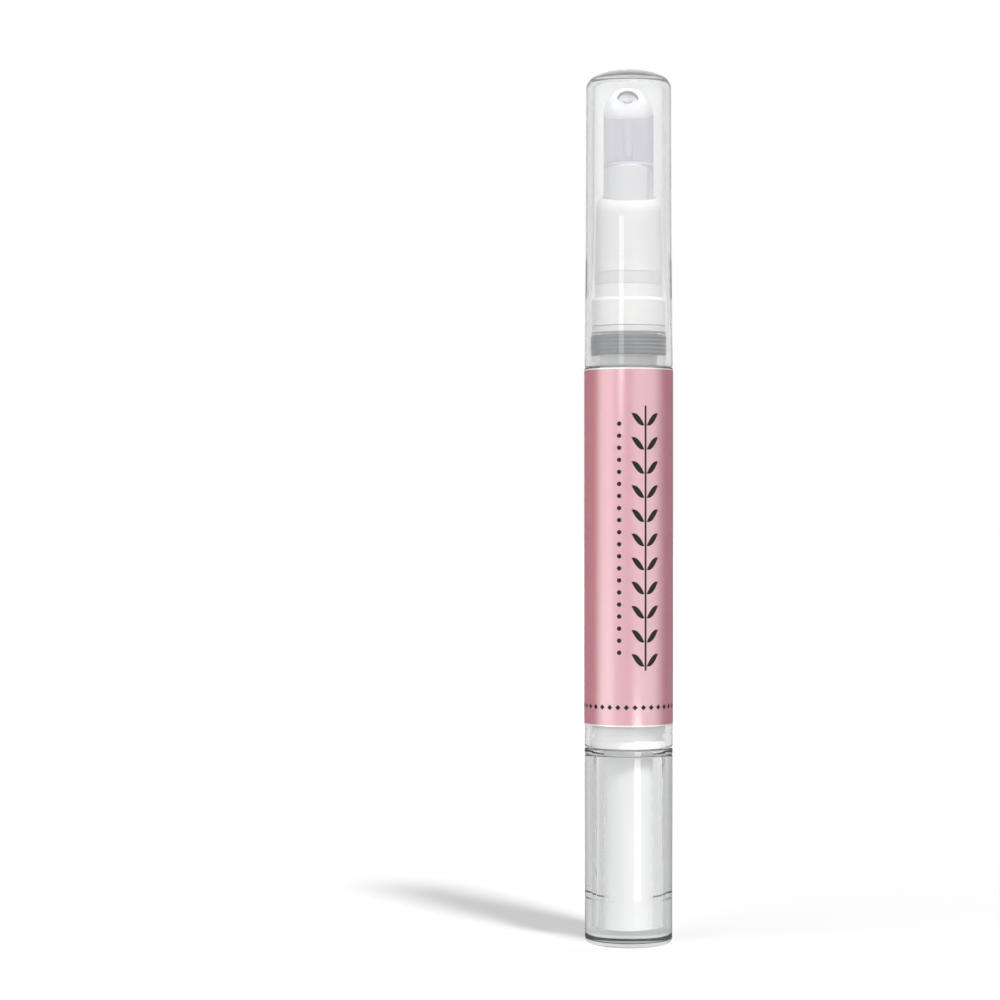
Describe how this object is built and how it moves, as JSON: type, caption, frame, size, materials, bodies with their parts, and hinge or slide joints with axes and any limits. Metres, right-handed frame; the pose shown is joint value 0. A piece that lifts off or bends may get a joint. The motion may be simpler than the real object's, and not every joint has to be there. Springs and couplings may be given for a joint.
{
  "type": "nail oil pen",
  "caption": "Slim twist-up nail oil pen with a clear knob, a satin pink sleeve, a clear domed cap and a slanted silicone pusher tip.",
  "frame": {"origin": "centre of the knob's standing face", "axes": "+Z along the pen's axis from the knob to the cap; the slanted face of the pusher tip looks towards -Y"},
  "size_m": [0.0136, 0.0136, 0.1324],
  "materials": {
    "clear_cap": "polished clear",
    "clear_barrel": "polished clear",
    "clear_knob": "polished clear",
    "pink_label": "satin metallic film",
    "grey_seal": "matt",
    "natural_plastic": "satin",
    "white_plastic": "satin",
    "steel_tube": "drawn",
    "silicone": "matt translucent",
    "oil": "clear liquid"
  },
  "bodies": {
    "barrel": {"barrel_tube": "clear_barrel", "label_wrap": "pink_label", "cap_seal": "grey_seal", "feed_plug": "natural_plastic", "plug_ring": "grey_seal", "nose_base": "white_plastic", "lock_ring": "natural_plastic", "nose_cone": "white_plastic", "feed_tube": "steel_tube", "pusher_tip": "silicone", "oil_fill": "oil", "bearing_bush": "white_plastic", "ratchet_ring": "white_plastic", "drive_nut": "white_plastic"},
    "cap": {"cap_shell": "clear_cap"},
    "knob": {"twist_knob": "clear_knob", "base_plug": "clear_knob", "spacer_ring": "clear_knob", "drive_sleeve": "white_plastic", "click_pawls": "white_plastic"},
    "screw": {"screw_rod": "white_plastic"},
    "plunger": {"piston": "natural_plastic", "piston_rings": "grey_seal"}
  },
  "joints": [
    {"name": "cap_pull", "type": "slide", "parent": "barrel", "child": "cap", "axis": [0, 0, 1], "range_m": [0, 0.05]},
    {"name": "knob_turn", "type": "hinge", "parent": "barrel", "child": "knob", "pos_m": [0, 0, 0.015], "axis": [0, 0, 1], "range_deg": [0, 5760]},
    {"name": "screw_lift", "type": "slide", "parent": "knob", "child": "screw", "axis": [0, 0, 1], "range_m": [0, 0.032]},
    {"name": "piston_lift", "type": "slide", "parent": "barrel", "child": "plunger", "axis": [0, 0, 1], "range_m": [0, 0.032], "deforming": ["oil_fill"]}
  ],
  "couplings": [
    {"joint": "screw_lift", "follows": "knob_turn", "m_per_rad": 0.00031831},
    {"joint": "piston_lift", "follows": "knob_turn", "m_per_rad": 0.00031831}
  ]
}
